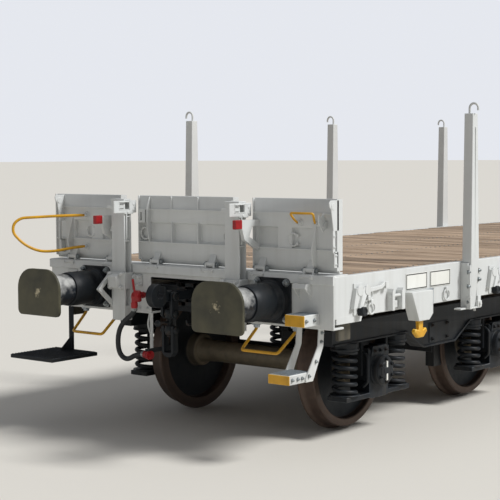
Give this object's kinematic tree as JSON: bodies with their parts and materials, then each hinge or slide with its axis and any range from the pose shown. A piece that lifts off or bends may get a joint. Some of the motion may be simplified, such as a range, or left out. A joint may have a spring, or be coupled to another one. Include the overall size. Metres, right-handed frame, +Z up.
{
  "type": "bogie flat wagon with end flaps and side stakes",
  "caption": "Long bogie flat wagon with a plank deck, drop end flaps, end posts, side stakes, buffers, screw couplings and sprung bogies.",
  "frame": {"origin": "under the middle of the wagon at the lowest point of the wheel flanges", "axes": "+X along the wagon towards its rear end, +Y across it, +Z up"},
  "size_m": [19.9, 3.002, 2.489],
  "materials": {
    "grey_paint": "semi-gloss light grey enamel",
    "black_paint": "satin near-black enamel, dusty",
    "deck_timber": "weathered hardwood planks",
    "buffer_steel": "greasy worn steel",
    "yellow_paint": "semi-gloss yellow enamel",
    "red_paint": "semi-gloss red enamel",
    "hose_rubber": "matt black rubber",
    "wheel_steel": "dull rolled steel with brown rust film"
  },
  "bodies": {
    "underframe": {"headstocks": "grey_paint", "side_sills": "grey_paint", "centre_beams": "black_paint", "cross_members": "black_paint", "body_bolsters": "black_paint", "deck_planks": "deck_timber", "buffer_casings": "black_paint", "buffer_heads": "buffer_steel", "drawgear_plates": "black_paint", "draw_hooks": "black_paint", "coupling_links": "black_paint", "coupling_screws": "black_paint", "coupling_bows": "black_paint", "end_posts": "grey_paint", "post_collars": "grey_paint", "post_latches": "grey_paint", "flap_hinges": "grey_paint", "side_stakes": "grey_paint", "stake_hooks": "grey_paint", "stake_shoes": "grey_paint", "lashing_brackets": "grey_paint", "tow_brackets": "grey_paint", "tow_hooks": "yellow_paint", "sign_plates": "grey_paint", "ladder_steps": "grey_paint", "step_boards": "black_paint", "buffer_handrails": "yellow_paint", "brake_cocks": "red_paint", "brake_hoses": "hose_rubber", "hose_couplings": "black_paint", "brake_cylinder": "black_paint", "air_reservoir": "black_paint", "brake_pipe": "black_paint"},
    "front_bogie": {"front_bogie_frame": "black_paint", "front_axleboxes": "black_paint", "front_bogie_springs": "black_paint", "front_brake_rigging": "black_paint"},
    "front_first_wheelset": {"front_first_wheelset": "wheel_steel"},
    "front_second_wheelset": {"front_second_wheelset": "wheel_steel"},
    "rear_bogie": {"rear_bogie_frame": "black_paint", "rear_axleboxes": "black_paint", "rear_bogie_springs": "black_paint", "rear_brake_rigging": "black_paint"},
    "rear_first_wheelset": {"rear_first_wheelset": "wheel_steel"},
    "rear_second_wheelset": {"rear_second_wheelset": "wheel_steel"},
    "front_middle_flap": {"front_middle_flap": "grey_paint"},
    "front_far_flap": {"front_far_flap": "grey_paint", "front_long_handle": "yellow_paint"},
    "front_near_flap": {"front_near_flap": "grey_paint", "front_short_handle": "yellow_paint"},
    "rear_middle_flap": {"rear_middle_flap": "grey_paint"},
    "rear_near_flap": {"rear_near_flap": "grey_paint", "rear_long_handle": "yellow_paint"},
    "rear_far_flap": {"rear_far_flap": "grey_paint", "rear_short_handle": "yellow_paint"}
  },
  "joints": [
    {"name": "front_bogie_turn", "type": "hinge", "parent": "underframe", "child": "front_bogie", "pos_m": [-7.43, 0, 0.9], "axis": [0, 0, 1], "range_deg": [-6, 6]},
    {"name": "rear_bogie_turn", "type": "hinge", "parent": "underframe", "child": "rear_bogie", "pos_m": [7.43, 0, 0.9], "axis": [0, 0, 1], "range_deg": [-6, 6]},
    {"name": "front_first_wheelset_turn", "type": "hinge", "parent": "front_bogie", "child": "front_first_wheelset", "pos_m": [-8.33, 0, 0.488], "axis": [0, 1, 0], "continuous": true},
    {"name": "front_second_wheelset_turn", "type": "hinge", "parent": "front_bogie", "child": "front_second_wheelset", "pos_m": [-6.53, 0, 0.488], "axis": [0, 1, 0], "continuous": true},
    {"name": "rear_first_wheelset_turn", "type": "hinge", "parent": "rear_bogie", "child": "rear_first_wheelset", "pos_m": [6.53, 0, 0.488], "axis": [0, 1, 0], "continuous": true},
    {"name": "rear_second_wheelset_turn", "type": "hinge", "parent": "rear_bogie", "child": "rear_second_wheelset", "pos_m": [8.33, 0, 0.488], "axis": [0, 1, 0], "continuous": true},
    {"name": "front_far_flap_fold", "type": "hinge", "parent": "underframe", "child": "front_far_flap", "pos_m": [-9.3, 0.955, 1.303], "axis": [0, -1, 0], "range_deg": [0, 90]},
    {"name": "front_middle_flap_fold", "type": "hinge", "parent": "underframe", "child": "front_middle_flap", "pos_m": [-9.3, 0, 1.303], "axis": [0, -1, 0], "range_deg": [0, 90]},
    {"name": "front_near_flap_fold", "type": "hinge", "parent": "underframe", "child": "front_near_flap", "pos_m": [-9.3, -0.955, 1.303], "axis": [0, -1, 0], "range_deg": [0, 90]},
    {"name": "rear_far_flap_fold", "type": "hinge", "parent": "underframe", "child": "rear_far_flap", "pos_m": [9.3, 0.955, 1.303], "axis": [0, 1, 0], "range_deg": [0, 90]},
    {"name": "rear_middle_flap_fold", "type": "hinge", "parent": "underframe", "child": "rear_middle_flap", "pos_m": [9.3, 0, 1.303], "axis": [0, 1, 0], "range_deg": [0, 90]},
    {"name": "rear_near_flap_fold", "type": "hinge", "parent": "underframe", "child": "rear_near_flap", "pos_m": [9.3, -0.955, 1.303], "axis": [0, 1, 0], "range_deg": [0, 90]}
  ]
}
